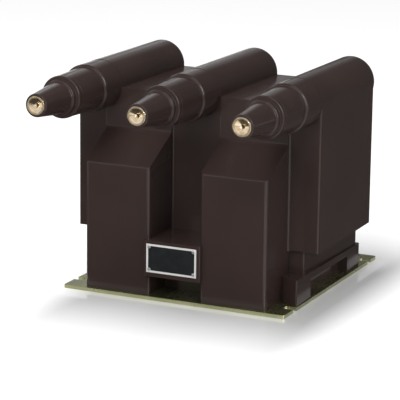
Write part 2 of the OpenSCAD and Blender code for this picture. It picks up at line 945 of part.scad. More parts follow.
// Nameplate: a bare sunk field whose corners are cut round the screws
module nameplate() {
    w = nameplate_w / 2;
    h = nameplate_h / 2;
    field_w = nameplate_w - 2 * nameplate_border;
    field_h = nameplate_h - 2 * nameplate_border;
    color(DARK)
        on_bridge_face()
            difference() {
                linear_extrude(nameplate_t)
                    polygon(rounded([[-w, -h], [w, -h], [w, h], [-w, h]], [1.5, 1.5, 1.5, 1.5]));
                translate([0, 0, nameplate_t - field_depth])
                    linear_extrude(field_depth + cut)
                        difference() {
                            square([field_w, field_h], center = true);
                            for (side = SIDES, level = SIDES)
                                translate([
                                    side * (w - nameplate_screw_inset),
                                    level * (h - nameplate_screw_inset)
                                ])
                                    circle(d = nameplate_screw_d + 1.6);
                        }
                at_nameplate_screws()
                    translate([0, 0, -cut])
                        cylinder(r = nameplate_shank_r + fit_gap, h = nameplate_t + 2 * cut);
            }
}

module nameplate_screws() {
    color(STEEL)
        on_bridge_face()
            at_nameplate_screws() {
                translate([0, 0, -nameplate_shank_l])
                    cylinder(r = nameplate_shank_r, h = nameplate_shank_l + nameplate_t + 0.2);
                translate([0, 0, nameplate_t])
                    rounded_disc(nameplate_screw_d / 2, 1.3, 0.7);
            }
}

// Earth stud on the plate's rear strip, with its washer and nut
module earth_stud() {
    color(STEEL)
        translate([0, earth_y, plate_t])
            difference() {
                rounded_disc(earth_d / 2, earth_l, 1);
                translate([0, 0, earth_washer_t + earth_nut_h])
                    difference() {
                        cylinder(d = earth_d + cut, h = thread_relief_l);
                        cylinder(d = earth_d - 2 * thread_relief_depth, h = thread_relief_l);
                    }
            }
}

module earth_washer() {
    color(STEEL)
        translate([0, earth_y, plate_t])
            difference() {
                cylinder(d = earth_d + 9, h = earth_washer_t);
                translate([0, 0, -cut])
                    cylinder(d = earth_d + 2 * fit_gap, h = earth_washer_t + 2 * cut);
            }
}

module earth_nut() {
    color(STEEL)
        translate([0, earth_y, plate_t + earth_washer_t])
            difference() {
                intersection() {
                    cylinder(d = earth_across_flats / cos(30), h = earth_nut_h, $fn = 6);
                    cylinder(d1 = earth_nut_face_d + 2 * earth_nut_h, d2 = earth_nut_face_d, h = earth_nut_h);
                }
                translate([0, 0, -cut])
                    cylinder(d = earth_d + 2 * fit_gap, h = earth_nut_h + 2 * cut);
            }
}

base_plate();
resin_body();
bushing(-1);  // bushing_a
bushing(0);  // bushing_b
bushing(1);  // bushing_c
bushing_seal(-1);  // bushing_seal_a
bushing_seal(0);  // bushing_seal_b
bushing_seal(1);  // bushing_seal_c
contact(-1);  // contact_a
contact(0);  // contact_b
contact(1);  // contact_c
fuse(-1);  // fuse_a
fuse(0);  // fuse_b
fuse(1);  // fuse_c
fuse_cup(-1);  // fuse_cup_a
fuse_cup(0);  // fuse_cup_b
fuse_cup(1);  // fuse_cup_c
hv_lead(-1);  // hv_lead_a
hv_lead(0);  // hv_lead_b
hv_lead(1);  // hv_lead_c
core(-1);  // core_left
core(1);  // core_right
primary_winding(-1);  // primary_winding_left
primary_winding(1);  // primary_winding_right
secondary_winding(-1);  // secondary_winding_left
secondary_winding(1);  // secondary_winding_right
coil_block(-1);  // coil_block_left
coil_block(1);  // coil_block_right
secondary_leads();
terminal_inserts();
terminal_washers();
terminal_screws();
plate_inserts();
plate_screws();
nameplate();
nameplate_screws();
earth_stud();
earth_washer();
earth_nut();
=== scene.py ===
"""Three-phase cast-resin voltage transformer: finishes, finer pieces and a plain studio around its frame."""

import logging
import math
from contextlib import contextmanager
from dataclasses import dataclass
from enum import Enum
from typing import Any, Iterator

import bpy
from mathutils import Matrix, Vector


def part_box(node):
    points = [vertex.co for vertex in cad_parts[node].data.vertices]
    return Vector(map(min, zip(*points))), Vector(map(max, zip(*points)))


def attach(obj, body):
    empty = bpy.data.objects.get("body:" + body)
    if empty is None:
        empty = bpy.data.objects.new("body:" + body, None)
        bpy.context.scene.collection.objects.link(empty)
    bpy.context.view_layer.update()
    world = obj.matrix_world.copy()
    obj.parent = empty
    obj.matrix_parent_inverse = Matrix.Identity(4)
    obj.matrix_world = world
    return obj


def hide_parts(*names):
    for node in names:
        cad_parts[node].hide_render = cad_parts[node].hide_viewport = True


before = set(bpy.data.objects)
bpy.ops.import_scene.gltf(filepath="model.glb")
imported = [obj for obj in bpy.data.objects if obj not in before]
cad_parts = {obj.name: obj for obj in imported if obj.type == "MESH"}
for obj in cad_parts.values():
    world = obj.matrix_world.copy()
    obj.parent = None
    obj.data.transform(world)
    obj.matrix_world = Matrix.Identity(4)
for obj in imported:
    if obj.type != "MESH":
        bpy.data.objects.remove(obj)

log = logging.getLogger("transformer")

MM = 0.001
BODY = "root"
PHASES = ("a", "b", "c")
MERGE_DISTANCE = 2e-6
FLAT_DEGREES = 0.4
FORWARD_NORMAL = -0.9
NOISE_ROUGHNESS = 0.55
Colour = tuple[float, float, float]
Place = tuple[float, float, float]
Span = tuple[float, float]
Point = tuple[float, float]
Profile = list[Point]


class Slot(Enum):
    """The record's material slots, passed with the new pieces to hand_over, which doesn't use them."""

    RESIN = "resin"
    ZINC_PLATE = "zinc_plate"
    BRASS = "brass"
    BRIGHT_STEEL = "bright_steel"
    NAMEPLATE = "nameplate"


# Shader graphs


class Value:
    """A number on a node's output socket that takes part in Python expressions."""

    def __init__(self, graph: "Graph", socket: bpy.types.NodeSocket) -> None:
        """Wraps an output socket of a graph."""
        self.graph = graph
        self.socket = socket

    def _math(self, operation: str, *terms: "Value | float") -> "Value":
        """Adds a Math node with its inputs in order."""
        return self.graph.value("Math", {"operation": operation}, dict(enumerate(terms)))

    def __add__(self, other: "Value | float") -> "Value":
        """Adds."""
        return self._math("ADD", self, other)

    def __sub__(self, other: "Value | float") -> "Value":
        """Subtracts."""
        return self._math("SUBTRACT", self, other)

    def __rsub__(self, other: float) -> "Value":
        """Subtracts from a number."""
        return self._math("SUBTRACT", other, self)

    def __mul__(self, other: "Value | float") -> "Value":
        """Multiplies."""
        return self._math("MULTIPLY", self, other)

    def __pow__(self, other: float) -> "Value":
        """Raises to a power."""
        return self._math("POWER", self, other)

    __radd__ = __add__
    __rmul__ = __mul__

    def hypot(self, other: "Value") -> "Value":
        """Gives the length of the two values as a vector."""
        return (self * self + other * other) ** 0.5

    def ridges(self, pitch: float) -> "Value":
        """Gives rounded ridges from 0 to 1, one for each pitch of the value."""
        return self._math("SINE", self * (2 * math.pi / pitch)) * 0.5 + 0.5

    def outside(self, low: float, high: float) -> "Value":
        """Gives how far the value lies outside a range, and 0 inside it."""
        return (self - high).largest(low - self).largest(0)

    def largest(self, other: "Value | float") -> "Value":
        """Gives the larger of the two."""
        return self._math("MAXIMUM", self, other)

    def step(self, low: float, high: float) -> "Value":
        """Rises smoothly from 0 to 1.

        Args:
            low: Where the rise starts.
            high: Where it ends.

        Returns:
            0 below low, 1 above high.
        """
        settings = {"interpolation_type": "SMOOTHSTEP"}
        return self.graph.value("MapRange", settings, {"Value": self, "From Min": low, "From Max": high})


@dataclass(frozen=True)
class Pattern:
    """Soft noise: the width of its blotches in metres, its finer layers, its rise to 1 and its stretch."""

    size: float
    detail: float
    rise: Span | None = None
    stretch: Place = (1, 1, 1)


class Graph:
    """The nodes of one material or world."""

    def __init__(self, tree: bpy.types.NodeTree) -> None:
        """Empties a node tree to build in."""
        self.tree = tree
        tree.nodes.clear()

    def node(self, kind: str, settings: dict[str, Any] | None = None,
             inputs: dict[str | int, Any] | None = None) -> bpy.types.Node:
        """Adds any node.

        Args:
            kind: The node's type, without its ShaderNode prefix.
            settings: Its properties, set first.
            inputs: Values or links for its input sockets, by name or number.

        Returns:
            The node.
        """
        node = self.tree.nodes.new("ShaderNode" + kind)
        for name, setting in (settings or {}).items():
            setattr(node, name, setting)
        for name, given in (inputs or {}).items():
            self.feed(node.inputs[name], given)
        return node

    def feed(self, socket: bpy.types.NodeSocket, given: Any) -> None:
        """Sets or links an input socket.

        Args:
            socket: The input socket.
            given: A value, a link's output socket, a Value or a colour.
        """
        if isinstance(given, Value):
            given = given.socket
        if isinstance(given, bpy.types.NodeSocket):
            self.tree.links.new(given, socket)
        elif isinstance(given, tuple) and len(given) == 3 and socket.type == "RGBA":
            socket.default_value = (*given, 1)
        else:
            socket.default_value = given

    def value(self, kind: str, settings: dict[str, Any] | None = None,
              inputs: dict[str | int, Any] | None = None) -> Value:
        """Adds a node, as node does, and gives its first output as a value."""
        return Value(self, self.node(kind, settings, inputs).outputs[0])

    def place(self, stretch: Place = (1, 1, 1)) -> bpy.types.NodeSocket:
        """Gives the place on the piece, in metres.

        Args:
            stretch: How much each axis is multiplied by.

        Returns:
            The coordinates' socket.
        """
        coordinates = self.node("TexCoord").outputs["Object"]
        if stretch == (1, 1, 1):
            return coordinates
        return self.node("Mapping", None, {"Vector": coordinates, "Scale": stretch}).outputs[0]

    def axes(self) -> tuple[Value, Value, Value]:
        """Gives the place on the piece as three values, in metres."""
        node = self.node("SeparateXYZ", None, {0: self.place()})
        return tuple(Value(self, output) for output in node.outputs)

    def noise(self, pattern: Pattern) -> Value:
        """Gives soft noise.

        Args:
            pattern: Its sizes.

        Returns:
            A value around 0.5, or from 0 to 1 where the pattern has a rise.
        """
        noise = self.value("TexNoise", {"noise_dimensions": "3D"}, {
            "Vector": self.place(pattern.stretch), "Scale": 1 / pattern.size, "Detail": pattern.detail,
            "Roughness": NOISE_ROUGHNESS,
        })
        return noise.step(*pattern.rise) if pattern.rise else noise

    def blend(self, factor: Value | float, low: Any, high: Any) -> bpy.types.NodeSocket:
        """Mixes two colours.

        Args:
            factor: How much of the second colour shows.
            low: The first colour.
            high: The second colour.

        Returns:
            The colour's socket.
        """
        settings = {"data_type": "RGBA", "blend_type": "MIX"}
        return self.node("Mix", settings, {"Factor": factor, 6: low, 7: high}).outputs[2]

    def bump(self, height: Value, depth: float,
             under: bpy.types.NodeSocket | None = None) -> bpy.types.NodeSocket:
        """Turns a height into a normal.

        Args:
            height: The height, from 0 to 1.
            depth: What a height of 1 stands for, in metres.
            under: A normal to build on.

        Returns:
            The normal's socket.
        """
        inputs = {"Height": height, "Strength": 1.0, "Distance": depth}
        if under is not None:
            inputs["Normal"] = under
        return self.node("Bump", None, inputs).outputs[0]

    def shader(self, inputs: dict[str, Any]) -> bpy.types.NodeSocket:
        """Adds a Principled shader with its inputs."""
        return self.node("BsdfPrincipled", None, inputs).outputs[0]

    def end(self, shader: bpy.types.NodeSocket, output: str = "OutputMaterial") -> None:
        """Ends the graph in a shader, at the output node of the given type."""
        self.node(output, None, {"Surface": shader})

    def surface(self, inputs: dict[str, Any]) -> None:
        """Ends a material in one Principled shader with its inputs."""
        self.end(self.shader(inputs))


def new_material(name: str) -> tuple[bpy.types.Material, Graph]:
    """Makes an empty material.

    Args:
        name: Its name.

    Returns:
        The material and its graph.
    """
    material = bpy.data.materials.new(name)
    material.use_nodes = True
    return material, Graph(material.node_tree)


# Finishes


class Finish:
    """A surface finish, made once as a material and shared by its pieces."""

    name = "finish"

    def material(self) -> bpy.types.Material:
        """Gives the finish's material, and makes it the first time.

        Returns:
            The material.
        """
        known = bpy.data.materials.get(self.name)
        if known is not None:
            return known
        made, graph = new_material(self.name)
        self.paint(graph)
        return made

    def paint(self, graph: Graph) -> None:
        """Builds the finish's nodes.

        Args:
            graph: The material's graph.
        """
        raise NotImplementedError

    def dress(self, piece: bpy.types.Object) -> None:
        """Puts the finish on the whole of a piece.

        Args:
            piece: The piece.
        """
        piece.data.materials.clear()
        piece.data.materials.append(self.material())
        for polygon in piece.data.polygons:
            polygon.material_index = 0


@dataclass(frozen=True)
class CastResin(Finish):
    """Dark brown epoxy as it leaves a polished mould: glossy, with a faint flow and a fine ripple."""

    name: str = "cast_resin"
    brown: Colour = (0.045, 0.0290, 0.0258)
    deep: Colour = (0.038, 0.0250, 0.0226)
    gloss: float = 0.15
    dull: float = 0.22
    speck_dulling: float = 0.05
    ior: float = 1.5
    specular: float = 0.30
    drift: Pattern = Pattern(0.11, 2, (0.3, 0.7))
    haze: Pattern = Pattern(0.035, 4, (0.45, 0.75), (1, 0.4, 1))
    specks: Pattern = Pattern(0.0016, 3, (0.70, 0.80))
    waves: Pattern = Pattern(0.013, 1)
    wave_depth: float = 0.000012
    grain: Pattern = Pattern(0.0009, 2)
    grain_depth: float = 0.00000144

    def paint(self, graph: Graph) -> None:
        """Builds a slow colour drift, patches a little duller, and a ripple as fine as the mould's.

        Args:
            graph: The material's graph.
        """
        haze, specks = graph.noise(self.haze), graph.noise(self.specks)
        waves = graph.bump(graph.noise(self.waves), self.wave_depth)
        graph.surface({
            "Base Color": graph.blend(graph.noise(self.drift), self.deep, self.brown),
            "Roughness": self.gloss + (self.dull - self.gloss) * haze + self.speck_dulling * specks,
            "IOR": self.ior, "Specular IOR Level": self.specular,
            "Normal": graph.bump(graph.noise(self.grain), self.grain_depth, waves),
        })


@dataclass(frozen=True)
class PassivatedZinc(Finish):
    """Yellow-olive passivated zinc on rolled steel."""

    name: str = "passivated_zinc"
    olive: Colour = (0.280, 0.288, 0.150)
    straw: Colour = (0.385, 0.388, 0.220)
    rosy: Colour = (0.33, 0.30, 0.22)
    rosy_share: float = 0.5
    metallic: float = 0.92
    gloss: float = 0.17
    cloud_dulling: float = 0.10
    rolled_dulling: float = 0.08
    clouds: Pattern = Pattern(0.045, 3, (0.25, 0.75))
    cast: Pattern = Pattern(0.09, 3, (0.55, 0.75))
    rolled: Pattern = Pattern(0.0016, 3, stretch=(1, 0.04, 1))
    rolled_depth: float = 0.000006

    def paint(self, graph: Graph) -> None:
        """Builds clouds of olive and straw, a rosy cast in places, and rolling marks along Y.

        Args:
            graph: The material's graph.
        """
        clouds, rolled = graph.noise(self.clouds), graph.noise(self.rolled)
        cast = graph.noise(self.cast) * self.rosy_share
        graph.surface({
            "Base Color": graph.blend(cast, graph.blend(clouds, self.olive, self.straw), self.rosy),
            "Metallic": self.metallic,
            "Roughness": self.gloss + self.cloud_dulling * clouds + self.rolled_dulling * rolled,
            "Normal": graph.bump(rolled, self.rolled_depth),
        })


@dataclass(frozen=True)
class TurnedBrass(Finish):
    """Brass turned about an axis along Y, with fine rings."""

    name: str = "turned_brass"
    centre_x: float = 0
    centre_z: float = 0
    gold: Colour = (0.62, 0.48, 0.30)
    pale: Colour = (0.74, 0.62, 0.45)
    gloss: float = 0.17
    tarnish_dulling: float = 0.08
    tarnish: Pattern = Pattern(0.006, 3, (0.4, 0.7))
    ring: float = 0.00035
    ring_depth: float = 0.000006

    def paint(self, graph: Graph) -> None:
        """Builds the rings that the tool left, and a slight uneven tarnish.

        Args:
            graph: The material's graph.
        """
        x, _, z = graph.axes()
        rings = (x - self.centre_x).hypot(z - self.centre_z).ridges(self.ring)
        tarnish = graph.noise(self.tarnish)
        graph.surface({
            "Base Color": graph.blend(tarnish, self.pale, self.gold), "Metallic": 1.0,
            "Roughness": self.gloss + self.tarnish_dulling * tarnish,
            "Normal": graph.bump(rings, self.ring_depth),
        })


@dataclass(frozen=True)
class PlainMetal(Finish):
    """A metal with fine grain and slight cloudiness."""

    name: str = "plain_metal"
    bright: Colour = (0.78, 0.78, 0.80)
    dim: Colour = (0.62, 0.62, 0.64)
    gloss: float = 0.28
    grain_dulling: float = 0.10
    clouds: Pattern = Pattern(0.012, 3, (0.35, 0.65))
    grain: Pattern = Pattern(0.0008, 2)
    grain_depth: float = 0.000008

    def paint(self, graph: Graph) -> None:
        """Builds clouds of two tones and a fine grain.

        Args:
            graph: The material's graph.
        """
        clouds, grain = graph.noise(self.clouds), graph.noise(self.grain)
        graph.surface({
            "Base Color": graph.blend(clouds, self.dim, self.bright), "Metallic": 1.0,
            "Roughness": self.gloss + self.grain_dulling * grain,
            "Normal": graph.bump(grain, self.grain_depth),
        })


DRAWN_COPPER = PlainMetal("drawn_copper", (0.80, 0.42, 0.26), (0.66, 0.32, 0.19), 0.30)


@dataclass(frozen=True)
class WoundWire(Finish):
    """Enamelled copper wire wound in layers about an upright axis."""

    name: str = "wound_wire"
    copper: Colour = (0.55, 0.22, 0.10)
    dark: Colour = (0.24, 0.08, 0.04)
    metallic: float = 0.9
    coat: float = 0.4
    gap_roughness: float = 0.40
    crest_polish: float = 0.12
    wire: float = 0.0011
    ridge_depth: float = 0.0003

    def paint(self, graph: Graph) -> None:
        """Builds one ridge for each turn of wire, with darker gaps.

        Args:
            graph: The material's graph.
        """
        _, _, z = graph.axes()
        turns = z.ridges(self.wire)
        graph.surface({
            "Base Color": graph.blend(turns, self.dark, self.copper), "Metallic": self.metallic,
            "Roughness": self.gap_roughness - self.crest_polish * turns, "Coat Weight": self.coat,
            "Normal": graph.bump(turns, self.ridge_depth),
        })


@dataclass(frozen=True)
class StackedSheet(Finish):
    """Silicon steel sheets stacked left to right."""

    name: str = "stacked_sheet"
    light: Colour = (0.30, 0.31, 0.34)
    dark: Colour = (0.10, 0.10, 0.12)
    metallic: float = 0.8
    gloss: float = 0.42
    varnish_dulling: float = 0.2
    varnish: Pattern = Pattern(0.02, 3)
    sheet: float = 0.0006
    line_power: float = 0.5
    line_depth: float = 0.00005

    def paint(self, graph: Graph) -> None:
        """Builds a fine line between sheets and a slightly uneven varnish.

        Args:
            graph: The material's graph.
        """
        x, _, _ = graph.axes()
        lines = x.ridges(self.sheet) ** self.line_power
        graph.surface({
            "Base Color": graph.blend(lines, self.dark, self.light), "Metallic": self.metallic,
            "Roughness": self.gloss + self.varnish_dulling * graph.noise(self.varnish),
            "Normal": graph.bump(lines, self.line_depth),
        })


@dataclass(frozen=True)
class GlazedCeramic(Finish):
    """Off-white glazed ceramic."""

    name: str = "glazed_ceramic"
    white: Colour = (0.82, 0.80, 0.74)
    cream: Colour = (0.74, 0.70, 0.61)
    gloss: float = 0.12
    peel_dulling: float = 0.08
    drift: Pattern = Pattern(0.03, 3, (0.4, 0.7))
    peel: Pattern = Pattern(0.002, 2)
    peel_depth: float = 0.00002

    def paint(self, graph: Graph) -> None:
        """Builds a cream drift under a smooth glaze with a slight orange peel.

        Args:
            graph: The material's graph.
        """
        peel = graph.noise(self.peel)
        graph.surface({
            "Base Color": graph.blend(graph.noise(self.drift), self.white, self.cream),
            "Roughness": self.gloss + self.peel_dulling * peel,
            "Normal": graph.bump(peel, self.peel_depth),
        })


@dataclass(frozen=True)
class SealRubber(Finish):
    """Black rubber with a dry, slightly dusty skin."""

    name: str = "seal_rubber"
    black: Colour = (0.012, 0.012, 0.012)
    dust: Colour = (0.045, 0.044, 0.042)
    gloss: float = 0.62
    dust_dulling: float = 0.15
    patches: Pattern = Pattern(0.004, 4, (0.45, 0.75))
    skin: Pattern = Pattern(0.0007, 2)
    skin_depth: float = 0.00002

    def paint(self, graph: Graph) -> None:
        """Builds dust in patches and a matt skin.

        Args:
            graph: The material's graph.
        """
        patches = graph.noise(self.patches)
        graph.surface({
            "Base Color": graph.blend(patches, self.black, self.dust),
            "Roughness": self.gloss + self.dust_dulling * patches,
            "Normal": graph.bump(graph.noise(self.skin), self.skin_depth),
        })


@dataclass(frozen=True)
class NameplateFace(Finish):
    """Etched aluminium plate: a bare charcoal field inside a bright border."""

    name: str = "nameplate_face"
    border: Colour = (0.93, 0.92, 0.90)
    charcoal: Colour = (0.011, 0.013, 0.014)
    slate: Colour = (0.016, 0.018, 0.019)
    border_metallic: float = 0.35
    streak_share: float = 0.25
    streak_tone: float = 0.8
    gloss: float = 0.34
    brushed_dulling: float = 0.12
    specular: float = 0.25
    brushed: Pattern = Pattern(0.0007, 3, stretch=(0.05, 1, 1))
    brushed_depth: float = 0.000006
    ink: Pattern = Pattern(0.012, 4, (0.35, 0.7))
    field_edge: float = 0.00008
    field_y: float = 0.0

    def paint(self, graph: Graph) -> None:
        """Builds charcoal deeper than the border's face, and brushed metal ahead of it.

        Args:
            graph: The material's graph.
        """
        _, y, _ = graph.axes()
        field = (y - self.field_y).step(0, self.field_edge)
        brushed = graph.noise(self.brushed)
        streak = tuple(self.streak_tone * part for part in self.border)
        metal = graph.blend(brushed * self.streak_share, self.border, streak)
        dark = graph.blend(graph.noise(self.ink), self.charcoal, self.slate)
        graph.surface({
            "Base Color": graph.blend(field, metal, dark),
            "Metallic": self.border_metallic - self.border_metallic * field,
            "Roughness": self.gloss + self.brushed_dulling * brushed, "Specular IOR Level": self.specular,
            "Normal": graph.bump(brushed, self.brushed_depth),
        })


# Mesh work


class Workshop:
    """Mesh work by Blender's operators, each step on one piece alone."""

    @staticmethod
    def pick(piece: bpy.types.Object) -> None:
        """Selects a piece alone and makes it active.

        Args:
            piece: The piece.
        """
        bpy.ops.object.select_all(action="DESELECT")
        piece.select_set(True)
        bpy.context.view_layer.objects.active = piece

    @classmethod
    @contextmanager
    def editing(cls, piece: bpy.types.Object, select: str | None = "SELECT") -> Iterator[None]:
        """Opens a piece in edit mode.

        Args:
            piece: The piece.
            select: SELECT or DESELECT for its whole mesh, or None for the selection that it has.

        Yields:
            Nothing.
        """
        cls.pick(piece)
        bpy.ops.object.mode_set(mode="EDIT")
        if select is not None:
            bpy.ops.mesh.select_all(action=select)
        try:
            yield
        finally:
            bpy.ops.object.mode_set(mode="OBJECT")
            bpy.ops.object.select_all(action="DESELECT")

    @staticmethod
    def primitive(add: Any, name: str, **options: Any) -> bpy.types.Object:
        """Adds a primitive to start a piece from.

        Args:
            add: The operator that adds it.
            name: The piece's name.
            options: The operator's options.

        Returns:
            The new piece.
        """
        bpy.ops.object.select_all(action="DESELECT")
        add(**options)
        piece = bpy.context.active_object
        piece.name = name
        return piece

    @staticmethod
    def copied(source: bpy.types.Object, name: str) -> bpy.types.Object:
        """Copies a piece under a new name, with its own mesh."""
        piece = bpy.data.objects.new(name, source.data.copy())
        bpy.context.scene.collection.objects.link(piece)
        return piece

    @classmethod
    def repeated(cls, first: bpy.types.Object, names: list[str],
                 places: list[Vector]) -> list[bpy.types.Object]:
        """Copies a piece to further places.

        Args:
            first: The piece, as modelled at the first place.
            names: The names of all the pieces, in order.
            places: Their places, in the same order.

        Returns:
            All the pieces, the first one among them.
        """
        pieces = [first]
        for name, place in zip(names[1:], places[1:]):
            piece = cls.copied(first, name)
            with cls.editing(piece):
                bpy.ops.transform.translate(value=place - places[0])
            pieces.append(piece)
        return pieces

    @classmethod
    def merged_copy(cls, node: str, name: str) -> bpy.types.Object:
        """Copies a node of the frame as one clean mesh, its flat faces whole.

        Args:
            node: The node's name.
            name: The new piece's name.

        Returns:
            The new piece.
        """
        piece = cls.copied(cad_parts[node], name)
        cls.pick(piece)
        bpy.ops.mesh.customdata_custom_splitnormals_clear()
        with cls.editing(piece):
            bpy.ops.mesh.remove_doubles(threshold=MERGE_DISTANCE)
            bpy.ops.mesh.dissolve_limited(angle_limit=math.radians(FLAT_DEGREES))
        return piece

    @classmethod
    def soften(cls, piece: bpy.types.Object, width: float, sharper_than: float = 32,
               segments: int = 2) -> None:
        """Rounds the sharp edges of a piece a little.

        Args:
            piece: The piece.
            width: The width of the rounding, in metres.
            sharper_than: Edges that turn by more than this many degrees are rounded.
            segments: How many steps the rounding has.
        """
        with cls.editing(piece, "DESELECT"):
            bpy.ops.mesh.select_mode(type="EDGE")
            bpy.ops.mesh.edges_select_sharp(sharpness=math.radians(sharper_than))
            bpy.ops.mesh.bevel(offset=width, segments=segments, affect="EDGES", clamp_overlap=True)
            bpy.ops.mesh.select_all(action="DESELECT")

    @classmethod
    def smooth(cls, piece: bpy.types.Object, angle: float = 28) -> None:
        """Shades a piece smooth, apart from its sharp edges, with the large faces kept flat.

        Args:
            piece: The piece.
            angle: Edges that turn by more than this many degrees stay sharp.
        """
        cls.pick(piece)
        bpy.ops.object.shade_smooth_by_angle(angle=math.radians(angle))
        even = piece.modifiers.new("even_shading", "WEIGHTED_NORMAL")
        even.keep_sharp = True
        bpy.ops.object.modifier_apply(modifier=even.name)
        bpy.ops.object.select_all(action="DESELECT")

    @classmethod
    def turned(cls, name: str, profile: Profile, centre: Vector, steps: int = 128) -> bpy.types.Object:
        """Turns a profile about an axis along Y.

        Args:
            name: The piece's name.
            profile: Its points: millimetres ahead of the centre, towards -Y, and away from the axis.
            centre: A point on the axis.
            steps: How many steps the turn has.

        Returns:
            The new piece.
        """
        piece = cls.primitive(bpy.ops.mesh.primitive_plane_add, name, size=MM)
        points = [Vector((centre.x + radius * MM, centre.y - ahead * MM, centre.z))
                  for ahead, radius in profile]
        with cls.editing(piece, "DESELECT"):
            bpy.ops.mesh.select_mode(type="VERT")
            bpy.ops.mesh.select_all(action="SELECT")
            bpy.ops.mesh.merge(type="CENTER")
            bpy.ops.mesh.select_all(action="SELECT")
            bpy.ops.transform.translate(value=points[0])
            for last, point in zip(points, points[1:]):
                bpy.ops.mesh.extrude_region_move(TRANSFORM_OT_translate={"value": point - last})
            bpy.ops.mesh.select_all(action="SELECT")
            bpy.ops.mesh.spin(steps=steps, angle=2 * math.pi, center=centre, axis=(0, 1, 0))
            bpy.ops.mesh.select_all(action="SELECT")
            bpy.ops.mesh.remove_doubles(threshold=MERGE_DISTANCE)
            bpy.ops.mesh.normals_make_consistent(inside=False)
        return piece

    @staticmethod
    def arc(ahead: float, radius: float, bend: float, start: float, end: float, steps: int = 6) -> Profile:
        """Gives the points of an arc in a profile.

        Args:
            ahead: The arc's centre, in millimetres ahead of the piece's centre.
            radius: The arc's centre, in millimetres from the axis.
            bend: The arc's radius, in millimetres.
            start: Where it starts, in degrees from straight away from the axis, towards the front.
            end: Where it ends, in the same degrees.
            steps: How many steps it has.

        Returns:
            The points, its two ends among them.
        """
        turns = [math.radians(start + (end - start) * step / steps) for step in range(steps + 1)]
        return [(ahead + bend * math.sin(turn), radius + bend * math.cos(turn)) for turn in turns]


# Sub-assemblies


class Assembly:
    """A sub-assembly that builds its pieces and reports them."""

    def build(self) -> None:
        """Builds and dresses the sub-assembly's pieces."""
        raise NotImplementedError

    @staticmethod
    def hand_over(piece: bpy.types.Object, finish: Finish, slot: Slot, node: str) -> None:
        """Dresses a piece, puts it under the body's empty and hides the node that it stands for.

        Args:
            piece: The piece.
            finish: Its finish.
            slot: Not used.
            node: The node that it stands for.
        """
        finish.dress(piece)
        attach(piece, BODY)
        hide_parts(node)
        log.info("%s: %d faces", piece.name, len(piece.data.polygons))

    @classmethod
    def ease(cls, node: str, name: str, edge: float, finish: Finish, slot: Slot) -> None:
        """Puts a copy with rounded edges in a node's place.

        Args:
            node: The node's name.
            name: The new piece's name.
            edge: The width of the rounding, in metres.
            finish: The piece's finish.
            slot: Not used; it is only passed on to hand_over.
        """
        piece = Workshop.merged_copy(node, name)
        Workshop.soften(piece, edge)
        Workshop.smooth(piece)
        cls.hand_over(piece, finish, slot, node)

    @staticmethod
    def contact_face(phase: str) -> Vector:
        """Gives the middle of a phase's brass face."""
        low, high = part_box(f"contact_{phase}")
        return Vector(((low.x + high.x) / 2, low.y, (low.z + high.z) / 2))

    @staticmethod
    def dress_node(node: str, finish: Finish) -> None:
        """Puts a finish on a node of the frame.

        Args:
            node: The node's name.
            finish: The finish.
        """
        finish.dress(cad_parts[node])
        log.info("%s: dressed in %s", node, finish.name)


@dataclass
class Casting(Assembly):
    """The resin block with its tubes, pillars, bridge and foot."""

    edge: float = 0.8 * MM
    finish: Finish = CastResin()

    def build(self) -> None:
        """Builds the casting from the frame's solid, with its sharp edges eased."""
        self.ease("resin_body", "resin_casting", self.edge, self.finish, Slot.RESIN)


